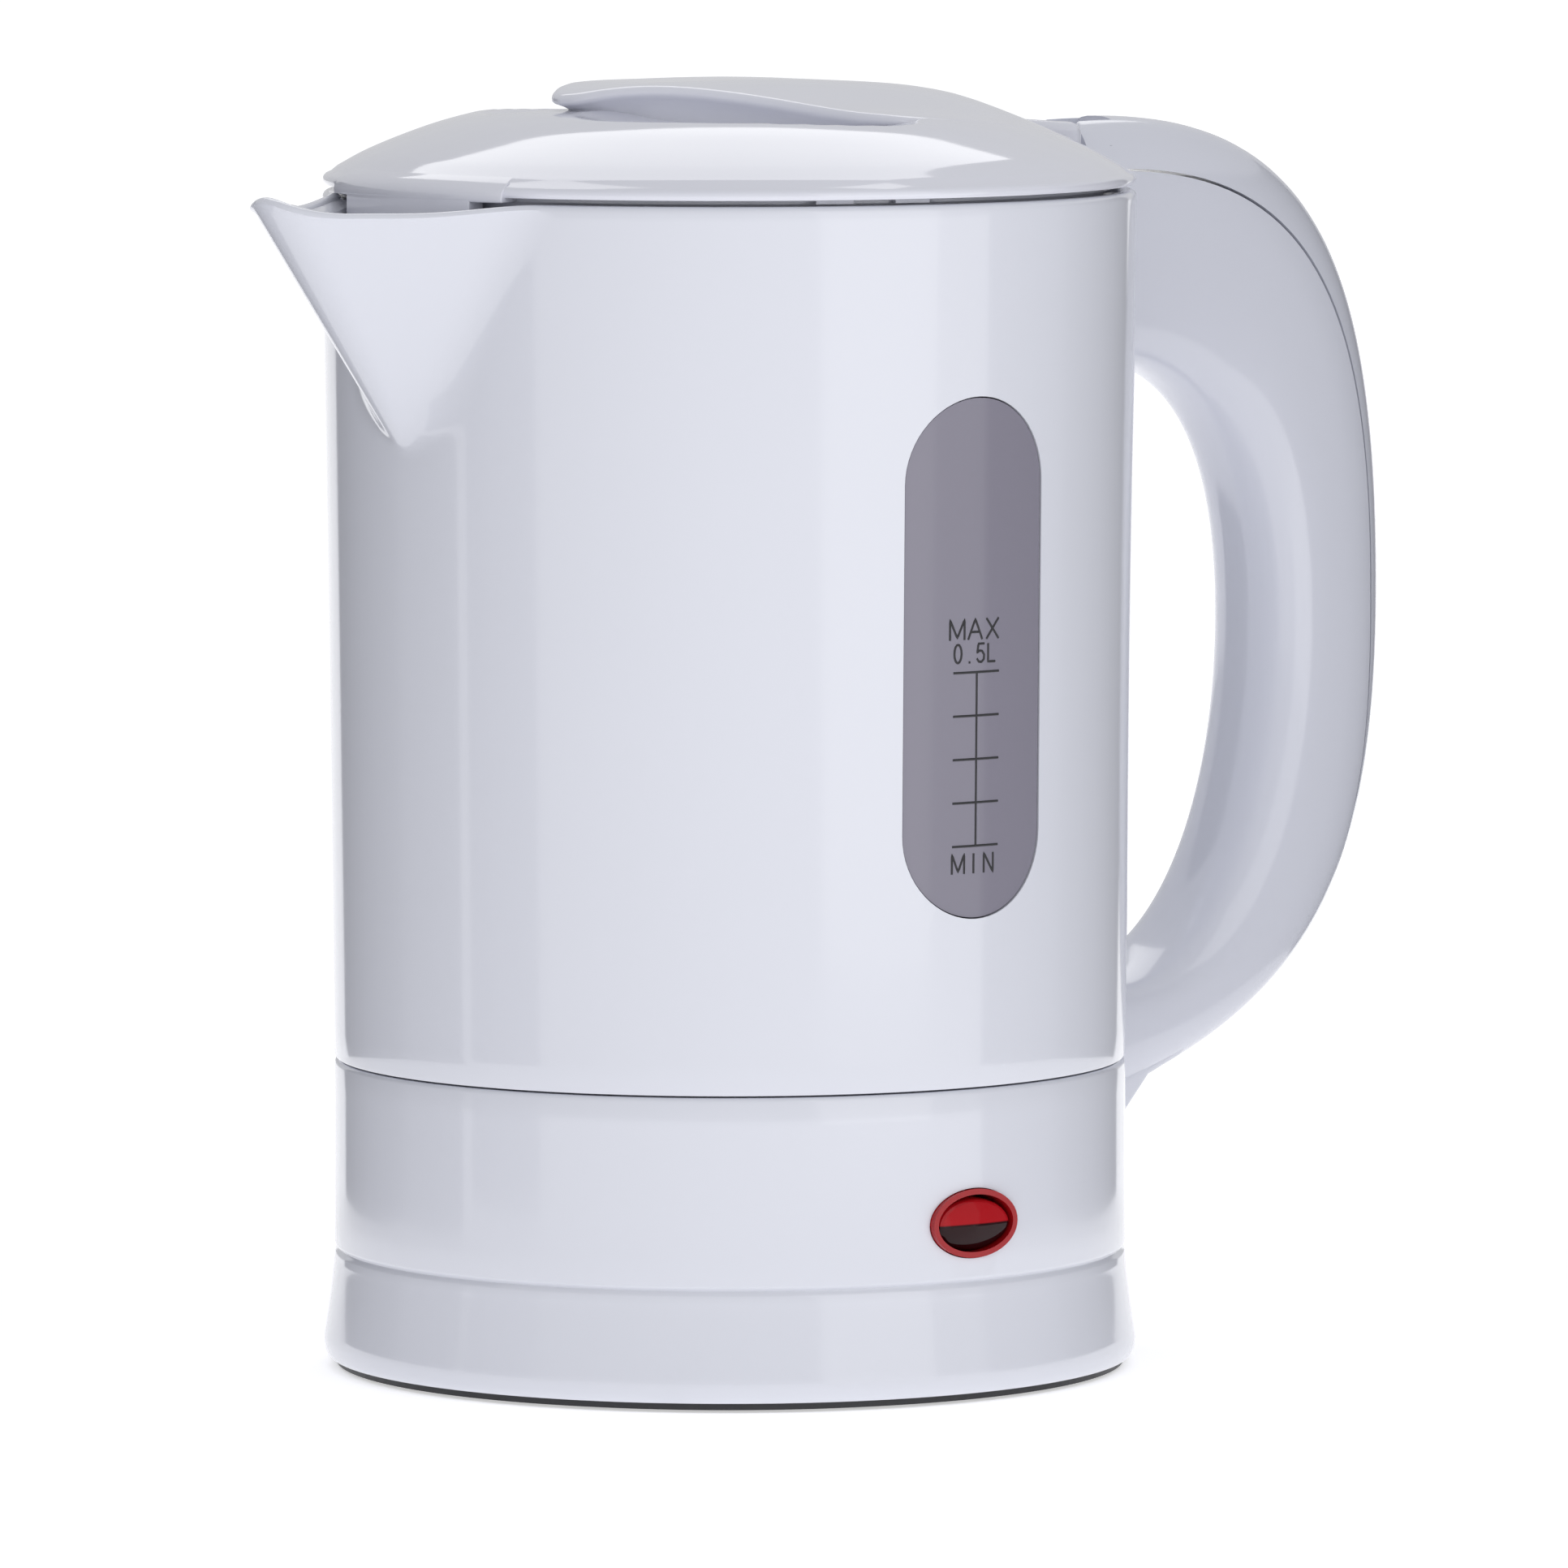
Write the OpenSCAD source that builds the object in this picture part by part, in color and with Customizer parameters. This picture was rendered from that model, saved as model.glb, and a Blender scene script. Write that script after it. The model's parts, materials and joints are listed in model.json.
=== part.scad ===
// Electric kettle with a round jug, a moulded spout, a hinged lid and a loop handle.
// Millimetres. Origin on the jug axis at table level, +Z up, +X towards the handle, -X towards
// the spout. The level window and the rocker switch are on the -Y side.

/* [Jug] */
// Outer radius of the jug at its seam with the base
jug_r = 53; // [52.5:0.25:53.5]
// Outer radius of the jug at its rim
rim_r = 54.3; // [54:0.1:54.6]
// Height of the rim above the table
rim_z = 157.5; // [156:0.5:159]
// Height of the seam between jug and base
seam_z = 41.5; // [41:0.1:43]
// Wall of the jug
jug_wall = 2.2; // [1.8:0.1:2.6]

/* [Spout] */
// Height at which the spout leaves the jug
spout_z = 124.5; // [122:0.5:128]
// Reach of the spout's tip from the jug axis
spout_reach = 76.6; // [75:0.2:79]
// Radius of the spout's nose at the rim
nose_r = 8; // [7:0.5:9]
// Half of the angle that the spout takes up on the jug at the rim
spout_half_angle = 22; // [20:0.5:24]

/* [Level window] */
// Width of the window
window_w = 22.7; // [20:0.5:24]
// Height of the window's lower end
window_z0 = 63.8; // [60:0.5:68]
// Height of the window's upper end
window_z1 = 132.3; // [128:0.5:134]

/* [Base] */
// Largest radius of the base, just above the table
flare_r = 54.5; // [54:0.1:55]
// Height of the moulded groove
groove_z = 15.9; // [15:0.1:18]
// Height of the lower edge of the white housing
base_z = 1.3; // [1.2:0.1:1.6]
// Wall of the base housing
base_wall = 2; // [1.8:0.1:2.4]

/* [Lid] */
// Height of the lid's lower edge
lid_z = 158.2; // [158:0.1:158.6]
// Height of the band round the lid's edge
band_h = 1.4; // [1.2:0.1:1.8]
// Height of the crown of the lid
crown_z = 168; // [167:0.2:169]
// Height of the grip on top of the lid
grip_z = 172.3; // [171:0.1:173]
// Half of the width of the grip
grip_half_w = 13; // [12:0.5:14]
// Wall of the lid
lid_wall = 2; // [1.6:0.1:2.2]

/* [Lid hinge] */
// Distance of the hinge pin from the jug axis
hinge_x = 59.2; // [59:0.1:59.6]
// Height of the hinge pin
hinge_z = 161; // [160.8:0.1:161.4]
// Radius of the hinge pin
pin_r = 1; // [0.9:0.05:1.1]
// Radial clearance of the lid's bore on the pin
pin_fit = 0.05; // [0.03:0.01:0.08]

/* [Handle] */
// Half of the handle's width
handle_half_w = 9.8; // [9:0.2:10.4]
// Wall of the handle's two shells
handle_wall = 2.2; // [1.8:0.1:2.6]

/* [Switch] */
// Height of the rocker switch
switch_z = 23.7; // [22:0.1:25]
// Width of the switch's oval rim
switch_w = 13.9; // [13:0.1:15]
// Height of the switch's oval rim
switch_h = 9.1; // [8.8:0.1:10]

/* [Power inlet] */
// Height of the power inlet
inlet_z = 22; // [21:0.5:23]
// Distance between the two inlet pins
inlet_pitch = 8.6; // [8:0.1:9]

/* [Hidden] */
$fn = 96;
eps = 0.01;
big = 400;

white = "#eceef3";
black = "#1b1b1d";
steel = "#b9bcc0";

// The jug's outer wall leans out a little towards the rim.
function jug_outer(z) = jug_r + (rim_r - jug_r) * (z - seam_z) / (rim_z - seam_z);

collar_r = jug_r - base_wall - 0.3;    // part of the jug that goes down inside the base
well_r = 46.3;                         // inside of the collar, round the heating plate
flange_r = 43.2;                       // inner edge of the flange that the plate seals against
plate_r = 46;
plate_z = 32.6;                        // underside of the heating plate
plate_t = 0.8;
seal_t = 0.8;
flange_t = 1.6;
flange_z = plate_z + plate_t + seal_t;
well_z = 38.5;
clamp_t = 2;
clamp_z = plate_z - clamp_t;
clamp_screw_r = 48.3;
clamp_screws_n = 6;
diffuser_t = 1.6;
diffuser_z = plate_z - diffuser_t;

// A disc or a tube on the jug axis, from z0 to z1.
module disc(r, z0, z1) { translate([0, 0, z0]) cylinder(r = r, h = z1 - z0); }
module ring(r_in, r_out, z0, z1) {
    difference() {
        disc(r_out, z0, z1);
        disc(r_in, z0 - 1, z1 + 1);
    }
}
// Copies of the children, n times round the jug axis, the first at angle a0.
module around(n, r, a0 = 0) {
    for (i = [0 : n - 1]) rotate([0, 0, a0 + i * 360 / n]) translate([r, 0, 0]) children();
}
// A pan-head screw with its axis on Z: the head's bearing face is at the origin, the shank goes up.
module screw_up(shank_r, length, head_r, head_h) {
    cylinder(r = shank_r, h = length, $fn = 32);
    translate([0, 0, -head_h]) difference() {
        cylinder(r = head_r, h = head_h, $fn = 32);
        for (a = [0, 90]) rotate([0, 0, a])
            translate([-head_r * 0.6, -0.35, -1]) cube([head_r * 1.2, 0.7, 1 + head_h * 0.55]);
    }
}
// A bar with round ends, w wide and h high, lying in the XY plane.
module slot_2d(w, h) {
    square([w - h, h], center = true);
    for (s = [-1, 1]) translate([s * (w - h) / 2, 0]) circle(d = h);
}
// An oval of straight steps, so that its walls stay exact.
module oval_2d(w, h, steps = 48) {
    polygon([for (i = [0 : steps - 1]) [w / 2 * cos(i * 360 / steps), h / 2 * sin(i * 360 / steps)]]);
}

// ---- Jug ----

module jug_turned() {
    rotate_extrude() polygon([
        [collar_r, plate_z], [collar_r, seam_z], [jug_r, seam_z], [rim_r, rim_z],
        [rim_r - jug_wall, rim_z], [jug_r - jug_wall, seam_z + 1.5], [well_r, well_z],
        [well_r, flange_z + flange_t], [flange_r, flange_z + flange_t], [flange_r, flange_z],
        [well_r, flange_z], [well_r, plate_z]]);
}
// The spout is a ruled solid: a drop-shaped outline at the rim drawn down to a small foot.
module spout_solid(inset) {
    foot_x = jug_outer(spout_z) - 3.5 - inset;
    side_r = jug_outer(rim_z) - 1 - inset;
    hull() {
        translate([-(spout_reach - nose_r), 0, rim_z - eps]) cylinder(r = nose_r - inset, h = eps, $fn = 32);
        for (s = [-1, 1]) rotate([0, 0, 180 + s * (spout_half_angle - inset * 1.2)])
            translate([side_r, 0, rim_z - eps]) cylinder(r = 0.5, h = eps, $fn = 16);
        translate([-foot_x, 0, spout_z + 2 * inset]) sphere(r = 4 - inset, $fn = 24);
    }
}
module window_cut(grow, r0, r1) {
    translate([0, -r0, 0]) rotate([90, 0, 0]) linear_extrude(r1 - r0)
        translate([0, (window_z0 + window_z1) / 2]) rotate(90)
            slot_2d(window_z1 - window_z0 + 2 * grow, window_w + 2 * grow);
}
module jug_body() {
    color(white) difference() {
        union() {
            jug_turned();
            difference() {
                spout_solid(0);
                disc(jug_r - 0.5, 100, rim_z + 1);
            }
        }
        difference() {
            translate([0, 0, 0.05]) spout_solid(jug_wall);
            disc(jug_r - jug_wall - 3, 100, rim_z + 1);
        }
        window_cut(0, 40, 60);
        around(clamp_screws_n, clamp_screw_r, 30) translate([0, 0, plate_z - 1])
            cylinder(r = 1.2, h = 9, $fn = 32);
    }
}
window_lip = 1.5;                      // how far the window's back plate overlaps the wall
module level_window() {
    color([0.55, 0.53, 0.6, 0.6]) intersection() {
        union() {
            window_cut(-0.02, 48, 60);
            intersection() {
                window_cut(window_lip, 44, 60);
                disc(jug_r - jug_wall - 0.55, seam_z, rim_z);
            }
        }
        rotate_extrude() polygon([
            [jug_r - jug_wall - 1.4, seam_z], [rim_r - jug_wall - 1.6, rim_z],
            [rim_r - 0.35, rim_z], [jug_r - 0.35, seam_z]]);
    }
}

// ---- Base ----

inlet_w = 22;
inlet_h = 12;
inlet_reach = 59;                      // end of the boss that holds the inlet
flare_z = 5;
lower_edge_r = 53.4;
post_r = 40;                           // circle of the posts for the cover screws
post_top = 24;
posts_n = 3;
bracket_x = 64;                        // end of the bracket that carries the handle's foot
bracket_z = 36.3;
bracket_half_w = 5.5;

module base_outline() {
    inner = jug_r - base_wall;
    polygon(concat(
        [[inner, seam_z - 0.2], [jug_r - 0.3, seam_z - 0.2], [jug_r, seam_z - 0.5],
         [jug_r, groove_z + 0.6], [jug_r - 0.5, groove_z + 0.45],
         [jug_r - 0.5, groove_z - 0.45], [jug_r, groove_z - 0.6]],
        [for (i = [1 : 8]) let (u = i / 8)
            [jug_r + (flare_r - jug_r) * u * u, groove_z - 0.6 + (flare_z + 0.6 - groove_z) * u]],
        [for (a = [15 : 15 : 75])
            [flare_r - (flare_r - lower_edge_r) * (1 - cos(a)), flare_z - (flare_z - base_z) * sin(a)]],
        [[lower_edge_r, base_z], [inner + 0.3, base_z], [inner + 0.3, groove_z - 3], [inner, groove_z]]));
}
module inlet_prism(grow, x0, x1) {
    translate([x0, 0, inlet_z]) rotate([90, 0, 90]) linear_extrude(x1 - x0)
        slot_2d(inlet_w + 2 * grow, inlet_h + 2 * grow);
}
module base_housing() {
    color(white) difference() {
        union() {
            rotate_extrude() base_outline();
            difference() {
                inlet_prism(0, jug_r - 3, inlet_reach);
                disc(jug_r - base_wall / 2, 0, seam_z);
            }
            difference() {
                bracket(0);
                disc(jug_r - base_wall / 2, 0, seam_z);
            }
            around(posts_n, post_r, 60) translate([0, 0, 3.4]) {
                cylinder(r = 3.4, h = post_top - 3.4, $fn = 32);
                translate([0, -1, 0]) cube([jug_r - base_wall / 2 - post_r, 2, post_top - 3.4]);
            }
        }
        inlet_prism(0.05 - inlet_rim, 40, inlet_reach + 1);
        around(posts_n, post_r, 60) cylinder(r = 1.2, h = post_top - 3, $fn = 32);
        translate([0, -45, switch_z]) rotate([90, 0, 0]) linear_extrude(15)
            oval_2d(switch_w, switch_h);
        at_handle_screws() cylinder(r = 1.2, h = 7.8, $fn = 32);
    }
}
// The bracket on the base that goes into a pocket in the handle's foot.
module bracket(grow) {
    translate([jug_r - 2, -bracket_half_w - grow, bracket_z - grow])
        cube([bracket_x + grow - jug_r + 2, 2 * (bracket_half_w + grow), seam_z - 0.2 - bracket_z + grow]);
}
// The two screws that hold the handle's foot to the bracket: heads bear here, shanks go up.
module at_handle_screws() {
    for (s = [-1, 1]) translate([handle_screw_x, s * 3.4, handle_screw_z]) children();
}
handle_screw_x = 59.5;
handle_screw_z = 33;
cover_z = 0.4;                         // underside of the bottom cover
foot_r = [46, 50];                     // the foot ring's inner and outer radius
module bottom_cover() {
    color(black) difference() {
        union() {
            disc(lower_edge_r - 0.6, cover_z, base_z);
            disc(jug_r - base_wall + 0.1, cover_z, 3.2);
        }
        ring(foot_r[0], foot_r[1], cover_z - 1, cover_z + 1);
        disc(44, 3.2 - 0.8, 4);
        around(posts_n, post_r, 60) cylinder(r = 1.7, h = 8, $fn = 32);
        around(posts_n, post_r, 60) translate([0, 0, -1]) cylinder(r = 3.2, h = 2.4, $fn = 32);
        for (i = [-3 : 3]) translate([i * 6, 0, -1]) linear_extrude(6) rotate(90) slot_2d(18, 2.4);
    }
}
module foot_ring() { color("#2a2a2a") ring(foot_r[0], foot_r[1], 0, cover_z + 1); }
module cover_screws() {
    color(steel) around(posts_n, post_r, 60) translate([0, 0, 1.4]) screw_up(1.25, 14, 2.8, 0.9);
}

// ---- Lid ----

dome = [[rim_r, lid_z + band_h], [52.3, 160.6], [48.7, 162.5], [43.3, 164.8], [38, 166.6],
        [32, 167.8], [27, 168.2], [22, crown_z + 0.4], [0, crown_z + 0.6]];
lug_half_w = 3;
lug_r = 2.4;

module dome_solid(drop) {
    rotate_extrude() polygon(concat(
        [[0, lid_z - 1], [rim_r - drop, lid_z - 1]],
        [for (p = dome) [max(p[0] - (p[0] > 0 ? drop : 0), 0), p[1] - drop]]));
}
// The grip in side view: its beak overhangs in front, and its back runs down into the lid.
grip_back = [[-10, 172], [0, grip_z], [10, 171.8], [20, 170.9], [30, 169.3], [38, 167.5], [46, 164.8]];
module grip_prism(outline, half_w) {
    intersection() {
        translate([0, half_w, 0]) rotate([90, 0, 0]) linear_extrude(2 * half_w) polygon(outline);
        translate([0, 0, 160]) linear_extrude(20) {
            translate([grip_half_w - 27, 0]) circle(r = half_w);
            translate([grip_half_w - 27, -half_w]) square([64, 2 * half_w]);
        }
    }
}
module grip_outside() {
    grip_prism(concat([[-20, 162], [-25, 168.6], [-27, 170.2], [-20, 171.2]], grip_back, [[49, 161]]),
               grip_half_w);
}
module grip_inside() {
    grip_prism(concat([[-18, 162], [-22, 168]], [for (p = grip_back) if (p[0] < 45) p - [0, lid_wall]],
                      [[40, 161]]), grip_half_w - lid_wall);
}
// A barrel that lies along X, half its length and its radius at each of its steps.
barrel = [[8, 25], [14, 24], [20, 20.5], [23, 17]];
module scoops(grow) {
    for (s = [-1, 1]) translate([-12, s * 25, crown_z + 20]) rotate([0, 90, 0]) rotate_extrude() polygon(concat(
        [[0, -barrel[3][0]]],
        [for (i = [3 : -1 : 0]) [barrel[i][1] + grow, -barrel[i][0]]],
        [for (i = [0 : 3]) [barrel[i][1] + grow, barrel[i][0]]],
        [[0, barrel[3][0]]]));
}
module front_skirt(r0, r1, z0, z1, half) {
    translate([0, 0, z0]) rotate([0, 0, 180 - half]) rotate_extrude(angle = 2 * half)
        translate([r0, 0]) square([r1 - r0, z1 - z0]);
}
// A raised step at the rear that carries the lid's line on to the handle.
tail_half_w = 8.6;
module lid_tail() {
    translate([0, tail_half_w, 0]) rotate([90, 0, 0]) linear_extrude(2 * tail_half_w)
        polygon([[41, 161.6], [41, 165.9], [48, 165.5], [52.6, 165.1], [53.5, 164.2], [53.5, 159.4], [50, 159.4]]);
}
module lid_shell() {
    color(white) difference() {
        union() {
            difference() {
                union() {
                    difference() {
                        dome_solid(0);
                        scoops(0);
                    }
                    grip_outside();
                }
                difference() {
                    union() {
                        difference() {
                            dome_solid(lid_wall);
                            scoops(lid_wall);
                        }
                        grip_inside();
                    }
                    disc(rim_r, lid_z - 2, lid_z - 0.5);
                }
                disc(rim_r + 1, lid_z - 2, lid_z);
                disc(rim_r - lid_wall, lid_z - 2, lid_z + 0.5);
            }
            front_skirt(51.4, 54, rim_z + 0.2, lid_z + 1, 20);
            front_skirt(51.8, 53.3, 153.5, rim_z + 0.8, 13);
            lid_tail();
            translate([50.5, -lug_half_w, 159]) cube([hinge_x - 50.5, 2 * lug_half_w, hinge_z + 1.2 - 159]);
            translate([hinge_x, 0, hinge_z]) rotate([90, 0, 0])
                cylinder(r = lug_r, h = 2 * lug_half_w, center = true, $fn = 48);
        }
        translate([hinge_x, 0, hinge_z]) rotate([90, 0, 0])
            cylinder(r = pin_r + pin_fit, h = 20, center = true, $fn = 32);
    }
}
liner_r = 49.8;
module lid_liner() {
    color("#e4e6ea") {
        difference() {
            union() {
                disc(liner_r, 151.5, lid_z - 0.5);
                disc(51.2, lid_z - 0.5, lid_z + 0.5);
            }
            disc(liner_r - 1.8, 153.3, lid_z + 1);
        }
        for (a = [-112, -100, 80, 92]) rotate([0, 0, a])
            translate([50, -2.5, lid_z - 0.5]) cube([2.1, 5, 0.9]);
    }
}
module lid_hinge_pin() {
    color(steel) translate([hinge_x, 0, hinge_z]) rotate([90, 0, 0])
        cylinder(r = pin_r, h = 15, center = true, $fn = 32);
}

// ---- Handle ----

// A cubic curve through four control points, at u from 0 to 1.
function bez(p, u) = pow(1 - u, 3) * p[0] + 3 * u * pow(1 - u, 2) * p[1]
                     + 3 * u * u * (1 - u) * p[2] + pow(u, 3) * p[3];
// The handle's back and its inner side, each as two curves, from the cap down to the foot.
back_upper = [[50, 165.2], [95.4, 169.4], [108.6, 150.1], [108.6, 99.9]];
back_lower = [[108.6, 99.9], [108.6, 65], [100.8, 43.1], [58, 31]];
grip_upper = [[50, 131.5], [74.9, 136.6], [87.5, 122.3], [87.5, 95.8]];
grip_lower = [[87.5, 95.8], [87.5, 69], [75.2, 41], [50, 50.4]];
seam_upper = [[50, 158.2], [93, 161.8], [104, 139.5], [104, 100]];
seam_lower = [[104, 100], [104.2, 84], [104, 70], [96.5, 55]];
function along(upper, lower, u) = u < 0.5 ? bez(upper, 2 * u) : bez(lower, 2 * u - 1);
stations = 30;
ring_n = 20;

// One ring of the handle's skin at u: a rounded oblong between its back and its inner side.
function handle_ring(u, inset) = let (
        b = along(back_upper, back_lower, u),
        g = along(grip_upper, grip_lower, u),
        mid = (b + g) / 2,
        half = norm(b - g) / 2 - inset,
        dir = (b - g) / norm(b - g),
        w = handle_half_w - inset)
    [for (i = [0 : ring_n - 1]) let (a = i * 360 / ring_n,
            c = sign(cos(a)) * pow(abs(cos(a)), 0.75), s = sign(sin(a)) * pow(abs(sin(a)), 0.75))
        [mid[0] + dir[0] * half * c, w * s, mid[1] + dir[1] * half * c]];
module handle_solid(inset) {
    skin([for (k = [0 : stations]) handle_ring(k / stations, inset)], ring_n);
}
// What lies behind the seam line between the two shells of the handle.
module behind_seam(gap) {
    steps = 16;
    translate([0, 20, 0]) rotate([90, 0, 0]) linear_extrude(40) polygon(concat(
        [for (k = [0 : steps]) bez(seam_upper, k / steps) + [gap, gap]],
        [for (k = [1 : steps]) bez(seam_lower, k / steps) + [gap, gap]],
        [[130, 55], [130, 190], [50, 190]]));
}
module handle_room() {
    gap = 0.04;
    rotate_extrude() polygon([[0, 20], [jug_r + gap, 20], [jug_r + gap, seam_z], [rim_r + gap, rim_z],
                              [rim_r + gap, rim_z + 0.2], [55.5, rim_z + 0.2], [55.5, 170], [0, 170]]);
}
// The web under the handle's foot, down to the base.
foot_half_w = 8;
module foot_web() {
    translate([0, foot_half_w, 0]) rotate([90, 0, 0]) linear_extrude(2 * foot_half_w)
        polygon([[50, 28.1], [60, 28.3], [66, 35.2], [72, 37], [72, 46], [50, 46]]);
}
module hinge_slot() {
    translate([50, -lug_half_w - 0.5, rim_z + 0.4]) cube([hinge_x + 3.2 - 50, 2 * lug_half_w + 1, 20]);
}
module handle_shell() {
    color(white) difference() {
        union() {
            handle_solid(0);
            foot_web();
        }
        difference() {
            handle_solid(handle_wall);
            disc(jug_r + 3.5, 20, 170);
            translate([0, -20, 0]) cube([bracket_x + 10, 40, seam_z + 6]);
        }
        behind_seam(0);
        handle_room();
        bracket(0.1);
        at_handle_screws() {
            cylinder(r = 1.6, h = 5, $fn = 32);
            translate([0, 0, -20]) cylinder(r = 2.9, h = 20, $fn = 32);
        }
    }
}
module handle_cover() {
    color("#e2e4ea") difference() {
        intersection() {
            handle_solid(0);
            behind_seam(0.15);
        }
        difference() {
            handle_solid(handle_wall);
            translate([hinge_x - 6, -20, rim_z]) cube([12, 40, 20]);
        }
        handle_room();
        hinge_slot();
        difference() {
            translate([50, -20, hinge_z]) cube([8, 40, 10]);
            translate([hinge_x, 0, hinge_z]) rotate([90, 0, 0]) cylinder(r = 4.8, h = 50, center = true);
        }
        translate([hinge_x, 0, hinge_z]) rotate([90, 0, 0])
            cylinder(r = pin_r, h = 15.2, center = true, $fn = 32);
    }
}
module handle_screws() { color(steel) at_handle_screws() screw_up(1.25, 7.6, 2.6, 1.4); }

// ---- Heating ----

element_r = 27;                        // middle of the horseshoe
tube_r = 3.2;
element_z = diffuser_z - tube_r + 0.2; // the tube is brazed 0.2 mm into the diffuser
element_gap = 35;                      // half of the gap between the horseshoe's ends
leg_z = 21;
thermostat_r = 9;
ear_y = 14;

module heating_plate() { color("#a9adb2") disc(plate_r, plate_z, plate_z + plate_t); }
module plate_seal() {
    color("#d8d4cc") ring(flange_r + 0.2, plate_r, plate_z + plate_t, flange_z);
}
module clamp_ring() {
    color(steel) difference() {
        ring(41, 50.4, clamp_z, plate_z);
        around(clamp_screws_n, clamp_screw_r, 30) translate([0, 0, clamp_z - 1])
            cylinder(r = 1.5, h = 6, $fn = 32);
    }
}
module clamp_screws() {
    color(steel) around(clamp_screws_n, clamp_screw_r, 30) translate([0, 0, clamp_z])
        screw_up(1.25, 9, 2.4, 1.3);
}
module heat_diffuser() {
    color("#c9ccd1") difference() {
        ring(thermostat_r + 1, 36, diffuser_z, plate_z);
        for (s = [-1, 1]) translate([0, s * ear_y, 20]) cylinder(r = 1, h = 20, $fn = 32);
    }
}
module element_legs() {
    for (s = [-1, 1]) rotate([0, 0, s * element_gap]) translate([element_r, 0, 0]) children();
}
module heating_element() {
    color("#8d8f93") {
        rotate([0, 0, element_gap]) rotate_extrude(angle = 360 - 2 * element_gap)
            translate([element_r, element_z]) circle(r = tube_r, $fn = 32);
        element_legs() {
            translate([0, 0, element_z]) sphere(r = tube_r, $fn = 32);
            translate([0, 0, leg_z]) cylinder(r = tube_r, h = element_z - leg_z, $fn = 32);
        }
    }
}
module element_terminals() {
    color("#c8b06a") element_legs() {
        translate([0, 0, leg_z - 5]) cylinder(r = 1.2, h = 5, $fn = 32);
        translate([-0.4, -3.15, leg_z - 11]) cube([0.8, 6.3, 7]);
    }
}
module thermostat_body() {
    color("#3a2f2a") difference() {
        union() {
            disc(thermostat_r, 20, 31.6);
            translate([0, 0, 29.4]) linear_extrude(1.2) rotate(90) slot_2d(2 * ear_y + 7, 7);
            for (s = [-1, 1]) translate([-3.15, s * 4.5 - 0.4, 13]) cube([6.3, 0.8, 8]);
        }
        disc(7.6, 31, 32);
        for (s = [-1, 1]) translate([0, s * ear_y, 20]) cylinder(r = 1.2, h = 20, $fn = 32);
    }
}
module bimetal_disc() {
    color("#b98a55") rotate_extrude() polygon([[0, 32], [7.4, 31.1], [7.4, 31.4], [0, 32.3]]);
}
module thermostat_screws() {
    color(steel) for (s = [-1, 1]) translate([0, s * ear_y, 29.4]) screw_up(1, 3, 2, 1.2);
}
fuse_x = -16.5;
fuse_z = diffuser_z - 2.2;
module thermal_fuse() {
    color("#d9c48a") translate([fuse_x, 0, fuse_z]) rotate([90, 0, 0]) {
        cylinder(r = 2, h = 13, center = true, $fn = 32);
        cylinder(r = 0.6, h = 19, center = true, $fn = 32);
    }
}

// ---- Switch ----

pivot_y = -49.5;
oval_rim = 0.75;
rocker_w = 12;
rocker_h = 6.9;
rocker_tilt = 5;                       // the switch is drawn off, its lower half pressed in
stub_r = 1;

// A prism on the oval switch opening, from y0 (inside) to y1 (outside).
module oval_prism(w, h, y0, y1) {
    translate([0, y0, switch_z]) rotate([90, 0, 0]) linear_extrude(y0 - y1) oval_2d(w, h);
}
module switch_body() {
    color("#a3161c") difference() {
        union() {
            oval_prism(switch_w, switch_h, -48, -53.4);
            translate([-8.25, -49.2, switch_z - 5.4]) cube([16.5, 14.2, 10.8]);
        }
        oval_prism(switch_w - 2 * oval_rim, switch_h - 2 * oval_rim, -38, -60);
        translate([0, pivot_y, switch_z]) rotate([0, 90, 0])
            cylinder(r = stub_r + 0.05, h = 13.4, center = true, $fn = 32);
    }
}
module switch_rocker() {
    color("#d3202a") translate([0, pivot_y, switch_z]) rotate([rocker_tilt, 0, 0]) {
        intersection() {
            translate([0, 6, 0]) rotate([90, 0, 0]) linear_extrude(12) oval_2d(rocker_w, rocker_h);
            translate([-7, 0, 0]) rotate([90, 0, 90]) linear_extrude(14)
                polygon([[-4.1, 0], [-3.3, 3.6], [2, 3.6], [2.6, 0], [2, -3.6], [-3.3, -3.6]]);
        }
        rotate([0, 90, 0]) cylinder(r = stub_r, h = 13.2, center = true, $fn = 32);
    }
}
module switch_terminals() {
    color("#c8b06a") for (x = [-5, 0, 5])
        translate([x - 0.4, -35, switch_z - 2.4]) cube([0.8, 4.4, 4.8]);
}
module neon_lamp() {
    color([1, 0.55, 0.3, 0.8]) translate([0, -40.4, switch_z]) rotate([0, 90, 0]) {
        cylinder(r = 1.6, h = 6, center = true, $fn = 32);
        for (s = [-1, 1]) translate([0, 0, s * 3]) sphere(r = 1.6, $fn = 32);
    }
}

// ---- Power inlet ----

inlet_rim = 1.4;
inlet_wall = 1.2;
inlet_back = 40;
socket_back = 46;
module inlet_body() {
    color(black) difference() {
        inlet_prism(-inlet_rim, inlet_back, inlet_reach - 0.4);
        inlet_prism(-inlet_rim - inlet_wall, socket_back, inlet_reach + 1);
        for (s = [-1, 1]) translate([inlet_back - 1, s * inlet_pitch / 2, inlet_z]) rotate([0, 90, 0])
            cylinder(r = 1.2, h = 20, $fn = 32);
    }
}
module inlet_pins() {
    color(steel) for (s = [-1, 1]) translate([0, s * inlet_pitch / 2, inlet_z]) rotate([0, 90, 0]) {
        translate([0, 0, 33]) cylinder(r = 1.2, h = 23, $fn = 32);
        translate([0, 0, 56]) sphere(r = 1.2, $fn = 32);
    }
}

// ---- Wiring ----

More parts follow.
